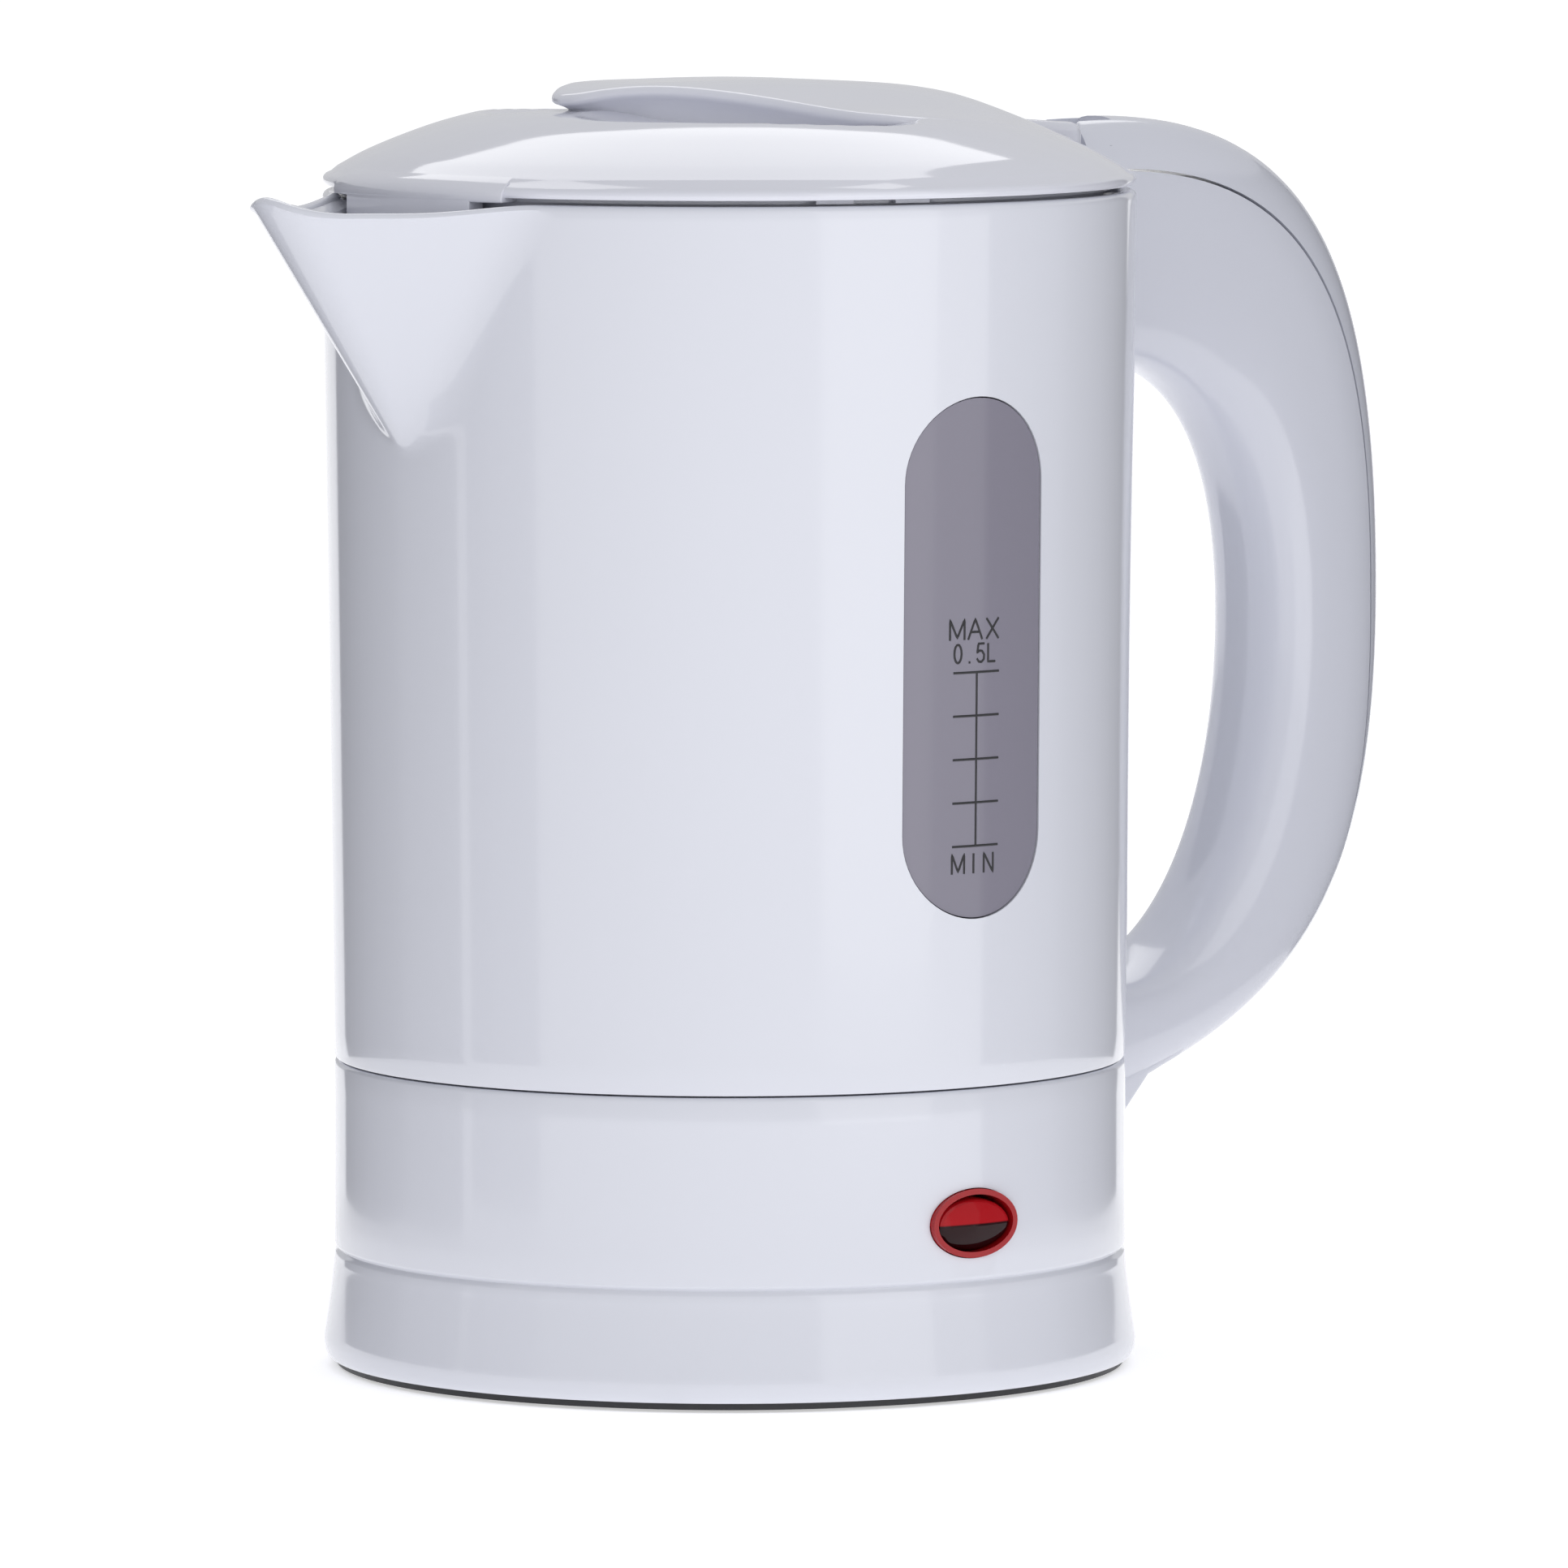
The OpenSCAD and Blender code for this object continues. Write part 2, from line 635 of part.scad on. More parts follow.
// The wires inside the base, each a cubic curve from one terminal to the next.
wires = [
    [[33, 4.3, 22], [24, 6, 6], [-14, 24, 4], [fuse_x, 10, fuse_z]],
    [[33, -4.3, 22], [42, -8, 12], [22, -34, 8], [5, -31.5, 22]],
    [[-5, -31.5, 22], [-5, -24, 10], [-3, -12, 6], [0, -4.5, 14]],
    [[0, 4.5, 14], [3, 9, 4], [18, 12, 3], [22.1, 15.5, 11]],
    [[fuse_x, -10, fuse_z], [-16, -18, 12], [4, -18, 3], [22.1, -15.5, 11]]];
wire_r = 1.1;
wire_stations = 14;
wire_sides = 8;
function unit(v) = v / norm(v);
function wire_ring(p, u) = let (
        t = unit(bez(p, u + 0.01) - bez(p, u - 0.01)),
        a = unit(cross(t, [0.3, 1, 0.1])),
        b = cross(a, t))
    [for (i = [0 : wire_sides - 1]) let (w = i * 360 / wire_sides)
        bez(p, u) + wire_r * (a * cos(w) + b * sin(w))];
// A skin through rings that all have n points, closed at both ends.
module skin(rings, n) {
    last = len(rings) - 1;
    polyhedron(
        points = [for (r = rings) each r],
        faces = concat(
            [[for (i = [n - 1 : -1 : 0]) i]],
            [for (k = [0 : last - 1], i = [0 : n - 1]) let (j = (i + 1) % n)
                [k * n + i, (k + 1) * n + j, (k + 1) * n + i]],
            [for (k = [0 : last - 1], i = [0 : n - 1]) let (j = (i + 1) % n)
                [k * n + i, k * n + j, (k + 1) * n + j]],
            [[for (i = [0 : n - 1]) last * n + i]]));
}
module wiring() {
    color("#7a1f1f") for (w = wires)
        skin([for (k = [0 : wire_stations]) wire_ring(w, k / wire_stations)], wire_sides);
}

jug_body();
level_window();
base_housing();
bottom_cover();
foot_ring();
cover_screws();
lid_shell();
lid_liner();
lid_hinge_pin();
handle_shell();
handle_cover();
handle_screws();
heating_plate();
plate_seal();
clamp_ring();
clamp_screws();
heat_diffuser();
heating_element();
element_terminals();
thermostat_body();
bimetal_disc();
thermostat_screws();
thermal_fuse();
switch_body();
switch_rocker();
switch_terminals();
neon_lamp();
inlet_body();
inlet_pins();
wiring();
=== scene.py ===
import json
import math

import bmesh
import bpy
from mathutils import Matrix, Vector


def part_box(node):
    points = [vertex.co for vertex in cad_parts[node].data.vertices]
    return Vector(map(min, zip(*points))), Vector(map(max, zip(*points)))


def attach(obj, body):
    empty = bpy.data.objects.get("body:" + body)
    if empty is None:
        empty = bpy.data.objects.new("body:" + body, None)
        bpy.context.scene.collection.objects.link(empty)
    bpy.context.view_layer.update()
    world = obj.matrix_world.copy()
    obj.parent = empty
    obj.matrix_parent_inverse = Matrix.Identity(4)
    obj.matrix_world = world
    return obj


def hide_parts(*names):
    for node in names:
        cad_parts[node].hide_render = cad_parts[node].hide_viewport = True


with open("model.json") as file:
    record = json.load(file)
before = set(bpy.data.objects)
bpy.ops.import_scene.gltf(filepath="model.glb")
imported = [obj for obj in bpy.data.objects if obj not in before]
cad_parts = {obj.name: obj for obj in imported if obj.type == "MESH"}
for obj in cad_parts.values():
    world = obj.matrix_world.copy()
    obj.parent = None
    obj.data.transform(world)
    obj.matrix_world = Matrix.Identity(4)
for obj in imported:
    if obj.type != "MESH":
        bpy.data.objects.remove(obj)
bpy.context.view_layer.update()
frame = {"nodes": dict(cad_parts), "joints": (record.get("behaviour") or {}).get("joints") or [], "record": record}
MM = 0.001

# The kettle's sizes are in millimetres and the studio's in metres. The jug's heights and the spout's
# reach come from the CAD nodes.
SEAM_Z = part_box("base_housing")[1].z / MM + 0.2   # joint between the base and the jug
RIM_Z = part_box("jug_body")[1].z / MM
REACH = -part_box("jug_body")[0].x / MM             # from the axis to the spout's tip
JUG_R = 53.0                                      # outside radius at the seam
RIM_R = 54.3                                      # outside radius at the rim
WALL = 2.2
SPOUT_Z = 124.5                                   # the spout's lowest point
SPOUT_FOOT_R = 53.9                               # the spout's reach there
# The camera's direction, and the two level directions that go with it.
AZIMUTH = math.radians(37.2)
TOWARD = Vector((-math.sin(AZIMUTH), -math.cos(AZIMUTH), 0))
RIGHT = Vector((math.cos(AZIMUTH), -math.sin(AZIMUTH), 0))


# ---- Camera, floor and light ----

def camera():
    """A long lens, a little above the rim, with the spout to the left and the handle to the right."""
    distance, height, aim_height, aim_right = 1.850, 0.240, 0.0778, 0.00726
    cam = bpy.data.objects.new("camera", bpy.data.cameras.new("camera"))
    bpy.context.collection.objects.link(cam)
    cam.location = TOWARD * distance + Vector((0, 0, height))
    aim = RIGHT * aim_right + Vector((0, 0, aim_height))
    cam.rotation_euler = (aim - cam.location).to_track_quat("-Z", "Y").to_euler()
    cam.data.sensor_width = 36
    cam.data.lens = 318.6
    cam.data.clip_start = 0.1
    cam.data.clip_end = 50
    bpy.context.scene.camera = cam


def around(degrees, distance, height):
    """A place round the kettle: degrees to the right of the camera's direction."""
    turn = math.radians(degrees)
    side = TOWARD * math.cos(turn) + RIGHT * math.sin(turn)
    return side * distance + Vector((0, 0, height))


def area_light(name, place, target, size, power):
    data = bpy.data.lights.new(name, "AREA")
    data.shape = "RECTANGLE"
    data.size, data.size_y = size
    data.energy = power
    light = bpy.data.objects.new(name, data)
    bpy.context.collection.objects.link(light)
    light.location = place
    light.rotation_euler = (Vector(target) - Vector(place)).to_track_quat("-Z", "Y").to_euler()


CARD_HEIGHT = 0.22


def card(name, degrees, distance, width, shade):
    """A grey card that shades the kettle's side; it is in no view, and shows only in the gloss."""
    mid = around(degrees, distance, 0)
    turn = math.radians(degrees)
    along = (RIGHT * math.cos(turn) - TOWARD * math.sin(turn)) * (width / 2)
    up = Vector((0, 0, CARD_HEIGHT))
    mesh = bpy.data.meshes.new(name)
    mesh.from_pydata([mid - along, mid + along, mid + along + up, mid - along + up], [], [(0, 1, 2, 3)])
    obj = bpy.data.objects.new(name, mesh)
    bpy.context.collection.objects.link(obj)
    mesh.materials.append(plain(name + "_mat", (shade, shade, shade * 1.05), 0.9))
    obj.visible_camera = False


def studio():
    """A bright room, a large light above and behind, a soft one in front, and cards at the sides."""
    scene = bpy.context.scene
    scene.view_settings.view_transform = "Standard"
    world = bpy.data.worlds.new("studio")
    world.use_nodes = True
    world.node_tree.nodes["Background"].inputs["Color"].default_value = (0.97, 0.975, 1, 1)
    world.node_tree.nodes["Background"].inputs["Strength"].default_value = 0.64
    scene.world = world
    area_light("back_top", around(183, 1.40, 1.72), (0, 0, 0.16), (1.25, 1.2), 5.9)
    area_light("front_right", around(41, 0.45, 0.24), (0, 0, 0.12), (0.29, 0.5), 0.27)
    card("left_soft_card", -62, 0.26, 0.10, 0.55)
    card("left_card", -90, 0.22, 0.12, 0.30)
    card("left_far_card", -118, 0.21, 0.15, 0.12)
    card("right_card", 86, 0.22, 0.13, 0.36)
    card("right_far_card", 120, 0.21, 0.16, 0.18)

    half = 9
    mesh = bpy.data.meshes.new("floor")
    corners = [(-half, -half, 0), (half, -half, 0), (half, half, 0), (-half, half, 0)]
    mesh.from_pydata(corners, [], [(0, 1, 2, 3)])
    floor = bpy.data.objects.new("floor", mesh)
    bpy.context.collection.objects.link(floor)
    mesh.materials.append(plain("floor_mat", (0.9, 0.9, 0.92), 0.6, glow=0.51))


# ---- Materials ----

def new_material(name):
    """A material with its nodes and their links."""
    material = bpy.data.materials.new(name)
    material.use_nodes = True
    return material, material.node_tree.nodes, material.node_tree.links


def plain(name, colour, roughness, glow=0):
    """An even matt surface for the studio, which may glow a little."""
    material, nodes, _ = new_material(name)
    shader = nodes["Principled BSDF"]
    shader.inputs["Base Color"].default_value = (*colour, 1)
    shader.inputs["Roughness"].default_value = roughness
    shader.inputs["Specular IOR Level"].default_value = 0
    shader.inputs["Emission Color"].default_value = (1, 1, 1, 1)
    shader.inputs["Emission Strength"].default_value = glow
    return material


def surface(name, colour, roughness, metallic=0.0, grain=400.0, vary=0.03, bump=0.02):
    """A surface whose colour, roughness and relief vary a little with noise."""
    material, nodes, links = new_material(name)
    shader = nodes["Principled BSDF"]
    shader.inputs["Metallic"].default_value = metallic
    place = nodes.new("ShaderNodeTexCoord")
    broad = nodes.new("ShaderNodeTexNoise")
    broad.inputs["Scale"].default_value = grain / 12
    broad.inputs["Detail"].default_value = 2
    fine = nodes.new("ShaderNodeTexNoise")
    fine.inputs["Scale"].default_value = grain
    fine.inputs["Detail"].default_value = 3
    links.new(place.outputs["Object"], broad.inputs["Vector"])
    links.new(place.outputs["Object"], fine.inputs["Vector"])
    tint = nodes.new("ShaderNodeMix")
    tint.data_type = "RGBA"
    tint.inputs["A"].default_value = (*[c * (1 - vary) for c in colour], 1)
    tint.inputs["B"].default_value = (*[min(c * (1 + vary), 1) for c in colour], 1)
    links.new(broad.outputs["Fac"], tint.inputs["Factor"])
    links.new(tint.outputs["Result"], shader.inputs["Base Color"])
    rough = nodes.new("ShaderNodeMapRange")
    rough.inputs["To Min"].default_value = roughness * 0.85
    rough.inputs["To Max"].default_value = roughness * 1.15
    links.new(fine.outputs["Fac"], rough.inputs["Value"])
    links.new(rough.outputs["Result"], shader.inputs["Roughness"])
    relief = nodes.new("ShaderNodeBump")
    relief.inputs["Strength"].default_value = bump
    relief.inputs["Distance"].default_value = 0.0002
    links.new(fine.outputs["Fac"], relief.inputs["Height"])
    links.new(relief.outputs["Normal"], shader.inputs["Normal"])
    return material


def glossy_plastic(name, colour, roughness=0.12):
    """Moulded plastic with a clear gloss and a thin clear coat."""
    material = surface(name, colour, roughness, vary=0.008, bump=0.006, grain=260)
    shader = material.node_tree.nodes["Principled BSDF"]
    shader.inputs["IOR"].default_value = 1.62
    shader.inputs["Coat Weight"].default_value = 0.35
    shader.inputs["Coat Roughness"].default_value = 0.04
    return material


def clear_plastic(name, colour, through, roughness):
    """Coloured plastic that lets part of the light through."""
    material = surface(name, colour, roughness, vary=0.02, bump=0.006, grain=200)
    shader = material.node_tree.nodes["Principled BSDF"]
    shader.inputs["IOR"].default_value = 1.49
    shader.inputs["Transmission Weight"].default_value = through
    return material


def lens(name, crease, painted_shade, roughness=0.08):
    """Red lens with painted shade: above the crease it keeps its own red, lit from above; below it the colour
    turns to the given shaded colour, standing in for the shadowed inside seen through the lower half.
    """
    material = clear_plastic(name, (0.48, 0.008, 0.014), 0.1, roughness)
    nodes, links = material.node_tree.nodes, material.node_tree.links
    shader = nodes["Principled BSDF"]
    lit = shader.inputs["Base Color"].links[0].from_socket
    place = nodes.new("ShaderNodeTexCoord")
    split = nodes.new("ShaderNodeSeparateXYZ")
    links.new(place.outputs["Object"], split.inputs["Vector"])
    # Painted shade mask: 0 just below the crease height in object space, 1 just above it.
    level = nodes.new("ShaderNodeMapRange")
    level.inputs["From Min"].default_value = crease - 0.00015
    level.inputs["From Max"].default_value = crease + 0.00005
    links.new(split.outputs["Z"], level.inputs["Value"])
    mix = nodes.new("ShaderNodeMix")
    mix.data_type = "RGBA"
    shader.inputs["Specular IOR Level"].default_value = 0.22
    # Below the crease: the painted shade colour for the lower half.
    mix.inputs["A"].default_value = (*painted_shade, 1)
    links.new(level.outputs["Result"], mix.inputs["Factor"])
    links.new(lit, mix.inputs["B"])
    links.new(mix.outputs["Result"], shader.inputs["Base Color"])
    return material


FINISHES = {
    "white_plastic": lambda n: glossy_plastic(n, (0.76, 0.775, 0.84)),
    "lid_plastic": lambda n: glossy_plastic(n, (0.77, 0.78, 0.85), 0.07),
    "handle_plastic": lambda n: glossy_plastic(n, (0.74, 0.755, 0.83), 0.16),
    "liner_plastic": lambda n: glossy_plastic(n, (0.70, 0.71, 0.78), 0.3),
    "window_plastic": lambda n: clear_plastic(n, (0.31, 0.295, 0.36), 0.2, 0.12),
    "black_plastic": lambda n: surface(n, (0.022, 0.022, 0.025), 0.45, bump=0.2, grain=900),
    "foot_rubber": lambda n: surface(n, (0.025, 0.025, 0.025), 0.75, bump=0.3, grain=1200),
    "silicone": lambda n: surface(n, (0.6, 0.58, 0.52), 0.5, bump=0.08),
    "screw_steel": lambda n: surface(n, (0.58, 0.59, 0.6), 0.3, 1.0, grain=900, bump=0.05),
    "pin_steel": lambda n: surface(n, (0.62, 0.63, 0.65), 0.22, 1.0, grain=900, bump=0.03),
    "plate_steel": lambda n: surface(n, (0.56, 0.57, 0.58), 0.28, 1.0, grain=500, vary=0.08, bump=0.05),
    "clamp_steel": lambda n: surface(n, (0.5, 0.51, 0.53), 0.35, 1.0, grain=500, bump=0.05),
    "diffuser_aluminium": lambda n: surface(n, (0.68, 0.69, 0.7), 0.4, 1.0, grain=500, bump=0.06),
    "element_steel": lambda n: surface(n, (0.25, 0.24, 0.25), 0.45, 0.9, grain=300, vary=0.2, bump=0.05),
    "contact_brass": lambda n: surface(n, (0.66, 0.5, 0.22), 0.3, 1.0, grain=700, bump=0.03),
    "inlet_steel": lambda n: surface(n, (0.75, 0.75, 0.77), 0.12, 1.0, grain=700, bump=0.02),
    "thermostat_plastic": lambda n: surface(n, (0.06, 0.04, 0.03), 0.5, bump=0.15, grain=800),
    "bimetal": lambda n: surface(n, (0.6, 0.42, 0.25), 0.32, 1.0, grain=500, vary=0.1, bump=0.03),
    "fuse_sleeve": lambda n: surface(n, (0.62, 0.52, 0.32), 0.8, bump=0.6, grain=2500),
    "switch_red": lambda n: clear_plastic(n, (0.42, 0.006, 0.01), 0.1, 0.1),
    "rocker_red": lambda n: clear_plastic(n, (0.55, 0.008, 0.014), 0.15, 0.08),
    "lamp_glass": lambda n: clear_plastic(n, (0.95, 0.5, 0.25), 0.8, 0.05),
    "wire_silicone": lambda n: surface(n, (0.3, 0.02, 0.02), 0.55, bump=0.1),
}
MADE = {}


def finish(slot):
    """The slot's material, made once."""
    if slot not in MADE:
        MADE[slot] = FINISHES[slot](slot + "_mat")
    return MADE[slot]


# ---- Meshes ----

def smooth_max(a, b, k):
    """The larger of two values, rounded over where they come within k of each other."""
    h = max(k - abs(a - b), 0) / k
    return max(a, b) + h * h * k / 4


def ease(t):
    """0 to 1 with a soft start and end."""
    t = min(max(t, 0), 1)
    return t * t * (3 - 2 * t)


def steps(start, end, n):
    return [start + (end - start) * i / n for i in range(n + 1)]


def curve_at(points, x):
    """A smooth line through the points, a pair each, read at x."""
    if x <= points[0][0]:
        return points[0][1]
    if x >= points[-1][0]:
        return points[-1][1]
    n = len(points)
    slope = [(points[min(i + 1, n - 1)][1] - points[max(i - 1, 0)][1]) /
             (points[min(i + 1, n - 1)][0] - points[max(i - 1, 0)][0]) for i in range(n)]
    i = max(j for j in range(n - 1) if points[j][0] <= x)
    (x0, y0), (x1, y1) = points[i], points[i + 1]
    w = x1 - x0
    t = (x - x0) / w
    return ((2 * t ** 3 - 3 * t * t + 1) * y0 + (t ** 3 - 2 * t * t + t) * w * slope[i]
            + (3 * t * t - 2 * t ** 3) * y1 + (t ** 3 - t * t) * w * slope[i + 1])


def make(name, verts, faces, angle=35):
    """An object from points in millimetres, smooth but for edges sharper than the angle."""
    mesh = bpy.data.meshes.new(name)
    mesh.from_pydata([Vector(v) * MM for v in verts], [], faces)
    mesh.update()
    mesh.shade_smooth()
    mesh.set_sharp_from_angle(angle=math.radians(angle))
    obj = bpy.data.objects.new(name, mesh)
    bpy.context.collection.objects.link(obj)
    return obj


def loft(name, rings, closed_run=False, angle=35, mirrored_top=False):
    """A skin through rings of the same count of points; closed_run joins the last ring to the first.

    mirrored_top closes the last ring with strips between its mirrored points.
    """
    n = len(rings[0])
    verts = [p for ring in rings for p in ring]
    faces = []
    runs = len(rings) if closed_run else len(rings) - 1
    for k in range(runs):
        low, high = k * n, ((k + 1) % len(rings)) * n
        for i in range(n):
            j = (i + 1) % n
            faces.append((low + i, low + j, high + j, high + i))
    if not closed_run:
        faces.append(tuple(range(n - 1, -1, -1)))
        last = (len(rings) - 1) * n
        if mirrored_top:
            strips = [[i, i + 1, n - i - 1, (n - i) % n] for i in range(n // 2)]
            faces += [tuple(last + i for i in dict.fromkeys(strip)) for strip in strips]
        else:
            faces.append(tuple(range(last, last + n)))
    return make(name, verts, faces, angle)


def circle(x, y, radius, n=32):
    turns = [2 * math.pi * i / n for i in range(n)]
    return [(x + radius * math.cos(t), y + radius * math.sin(t)) for t in turns]


def turned(name, profile):
    """A solid turned round the jug's axis from a closed profile of (radius, height) pairs."""
    n = 240
    rings = [[(r * math.cos(2 * math.pi * i / n), r * math.sin(2 * math.pi * i / n), z) for i in range(n)]
             for r, z in profile]
    return loft(name, rings, closed_run=True)


def prism(name, outline, place, start, end):
    """A prism over an outline: place(u, v, w) gives the point for outline point (u, v) at depth w."""
    return loft(name, [[place(u, v, w) for u, v in outline] for w in (start, end)])


def cut(obj, tool, operation="DIFFERENCE"):
    """Applies a boolean to obj and removes the tool."""
    for o in (obj, tool):
        outward(o)
    step = obj.modifiers.new("cut", "BOOLEAN")
    step.object = tool
    step.operation = operation
    step.solver = "EXACT"
    bake(obj)
    bpy.data.objects.remove(tool)


def outward(obj):
    """Turns every face outwards."""
    mesh = bmesh.new()
    mesh.from_mesh(obj.data)
    bmesh.ops.recalc_face_normals(mesh, faces=mesh.faces)
    mesh.to_mesh(obj.data)
    mesh.free()


def bake(obj):
    """Applies the modifiers."""
    bpy.context.view_layer.update()
    made = bpy.data.meshes.new_from_object(obj.evaluated_get(bpy.context.evaluated_depsgraph_get()))
    obj.modifiers.clear()
    obj.data = made


def soften(obj, width, angle=35, segments=2):
    """Rounds the sharp edges."""
    step = obj.modifiers.new("soften", "BEVEL")
    step.width = width * MM
    step.segments = segments
    step.limit_method = "ANGLE"
    step.angle_limit = math.radians(angle)
    step.harden_normals = True


def settle(obj, body, slot, node=None):
    """Gives the piece its material and its body, and hides the CAD node that it stands for, if one is given."""
    obj.data.materials.clear()
    obj.data.materials.append(finish(slot))
    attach(obj, body)
    if node:
        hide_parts(node)
    return obj


def smooth_again(obj, angle=35):
    obj.data.shade_smooth()
    obj.data.set_sharp_from_angle(angle=math.radians(angle))


def joint_place(name):
    """A joint's place, in millimetres."""
    return Vector(next(j for j in frame["joints"] if j["name"] == name)["pos_m"]) / MM


# ---- Jug ----

def body_radius(z):
    return JUG_R + (RIM_R - JUG_R) * (z - SEAM_Z) / (RIM_Z - SEAM_Z)


def spout_radius(turn, z, inset):
    """How far the spout reaches at this angle from its ridge, or 0 below and beside it."""
    t = (z - SPOUT_Z - 1.6 * inset) / (RIM_Z - SPOUT_Z)
    if t <= 0.01 or abs(turn) > math.radians(40):
        return 0
    turn = abs(turn)
    ridge = SPOUT_FOOT_R + (REACH - SPOUT_FOOT_R) * min(t, 1) - inset
    nose = max(4.5 + 3.5 * t - inset, 0.8)
    middle = ridge - nose
    half = math.radians((5.5 + 18.5 * min(t, 1)) * min(t / 0.05, 1) ** 0.5) - inset * 0.012
    side = Vector((math.cos(half), math.sin(half))) * (body_radius(z) - inset)
    reach = side - Vector((middle, 0))
    # The tangent from the side point to the nose's circle.
    lean = math.atan2(reach.y, reach.x) - math.acos(min(nose / max(reach.length, nose), 1))
    touch = Vector((middle + nose * math.cos(lean), nose * math.sin(lean)))
    if turn < math.atan2(touch.y, touch.x):
        return middle * math.cos(turn) + math.sqrt(max(nose ** 2 - (middle * math.sin(turn)) ** 2, 0))
    along = side - touch
    ray = Vector((math.cos(turn), math.sin(turn)))
    cross = ray.x * along.y - ray.y * along.x
    if abs(cross) < 1e-6:
        return 0
    reach = (touch.x * along.y - touch.y * along.x) / cross
    beyond = math.degrees(turn - half)
    return min(max(reach, 0), ridge if beyond <= 0 else body_radius(z) - inset - 0.2 * beyond)


def jug_radius(turn, z, inset=0.0):
    """The jug and its spout together; the fold between them softens upwards."""
    blend = 0.1 + 2.3 * ease((z - SPOUT_Z) / 7)
    return smooth_max(body_radius(z) - inset, spout_radius(turn, z, inset), blend)


def lip_height(turn):
    """The rim rises at the spout's tip and dips a little along its sides."""
    beside = math.degrees(abs(turn))
    return RIM_Z + 0.9 * ease(1 - beside / 6) - 1.1 * ease(beside / 7) * ease((25 - beside) / 14)


def jug_rings():
    """Rings up the outside, over the lip, down the inside and round the foot that holds the plate."""
    turns = [math.radians(a) for a in steps(-34, 34, 110)]
    turns += [math.radians(a) for a in steps(34, 326, 130)[1:-1]]
    turns = [a if a <= math.pi else a - 2 * math.pi for a in turns]

    def ring(radius, height):
        return [(-radius(a) * math.cos(a), radius(a) * math.sin(a), height(a)) for a in turns]

    def flat(r, z):
        return ring(lambda a: r, lambda a: z)

    foot_r, foot_z, ledge_r, flange_r = 50.7, 32.6, 46.3, 43.2
    rings = [flat(foot_r, foot_z), flat(foot_r, SEAM_Z - 0.2), flat(JUG_R - 0.6, SEAM_Z),
             flat(JUG_R - 0.2, SEAM_Z + 0.1), flat(JUG_R, SEAM_Z + 0.45)]
    for z in steps(SEAM_Z + 4, SPOUT_Z - 1, 14):
        rings.append(flat(body_radius(z), z))
    edge, over = 1.0, WALL / 2 - 0.05
    for s in steps(0, 1, 34):
        def height(a, s=s):
            return SPOUT_Z + (lip_height(a) - edge - SPOUT_Z) * s
        rings.append(ring(lambda a, h=height: jug_radius(a, h(a)), height))
    for b in (20, 40, 60, 80, 100, 120, 140, 160):
        b = math.radians(b)
        rings.append(ring(lambda a, b=b: jug_radius(a, lip_height(a)) - over * (1 - math.cos(b)),
                          lambda a, b=b: lip_height(a) - edge + edge * math.sin(b)))
    for s in steps(1, 0, 34):
        def height(a, s=s):
            return SPOUT_Z - 2 + (lip_height(a) - edge - SPOUT_Z + 2) * s
        rings.append(ring(lambda a, h=height: jug_radius(a, h(a), WALL), height))
    for z in steps(SPOUT_Z - 6, SEAM_Z + 1.5, 8):
        rings.append(flat(body_radius(z) - WALL, z))
    for r, z in ((ledge_r, 38.5), (ledge_r, 35.8), (flange_r, 35.8), (flange_r, 34.2), (ledge_r, 34.2),
                 (ledge_r, foot_z)):
        rings.append(flat(r, z))
    return rings


def stadium(width, low, high, n=24):
    """An upright outline with round ends, as (x, z) pairs."""
    r = width / 2
    top = [(r * math.cos(math.pi * i / n), high - r + r * math.sin(math.pi * i / n)) for i in range(n + 1)]
    bottom = [(-r * math.cos(math.pi * i / n), low + r - r * math.sin(math.pi * i / n)) for i in range(n + 1)]
    return top + bottom


WINDOW = (22.7, 63.8, 132.3)    # width, lowest and highest point
PANE_DEPTH = 0.22               # how far the pane lies behind the jug's outside


def jug_skin():
    obj = loft("jug_skin", jug_rings(), closed_run=True)
    hole = prism("window_hole", stadium(*WINDOW, n=32), lambda u, v, w: (u, -w, v), 46, 60)
    cut(obj, hole)
    smooth_again(obj)
    soften(obj, 0.25, angle=50)
    return settle(obj, "kettle", "white_plastic", "jug_body")


def window_skin():
    """The window: a smoky pane that follows the jug's wall, with a rounded edge."""
    gap = 0.18
    width, low, high = WINDOW[0] - 2 * gap, WINDOW[1] + gap, WINDOW[2] - gap
    cols, rows = 40, 90
    half = width / 2

    def sheet(depth):
        points = []
        for i in range(cols + 1):
            x = half * math.sin(math.pi / 2 * (2 * i / cols - 1))
            rise = math.sqrt(max(half ** 2 - x ** 2, 0))
            bottom, top = low + half - rise, high - half + rise
            for j in range(rows + 1):
                z = bottom + (top - bottom) * j / rows
                points.append((x, -math.sqrt((body_radius(z) - depth) ** 2 - x * x), z))
        return points

    front, back = sheet(PANE_DEPTH), sheet(2.4)
    verts, faces = front + back, []
    off, stride = len(front), rows + 1
    for i in range(cols):
        for j in range(rows):
            a, b = i * stride + j, (i + 1) * stride + j
            c, d = b + 1, a + 1
            faces.append((a, b, c, d))
            faces.append((off + d, off + c, off + b, off + a))
    border = [(i * stride) for i in range(cols + 1)] + [cols * stride + j for j in range(1, stride)]
    border += [i * stride + rows for i in range(cols - 1, -1, -1)] + [j for j in range(rows - 1, 0, -1)]
    for a, b in zip(border, border[1:] + border[:1]):
        faces.append((a, off + a, off + b, b))
    obj = make("window_skin", verts, faces, 40)
    outward(obj)
    soften(obj, 0.5, angle=50, segments=4)
    return settle(obj, "kettle", "window_plastic", "level_window")


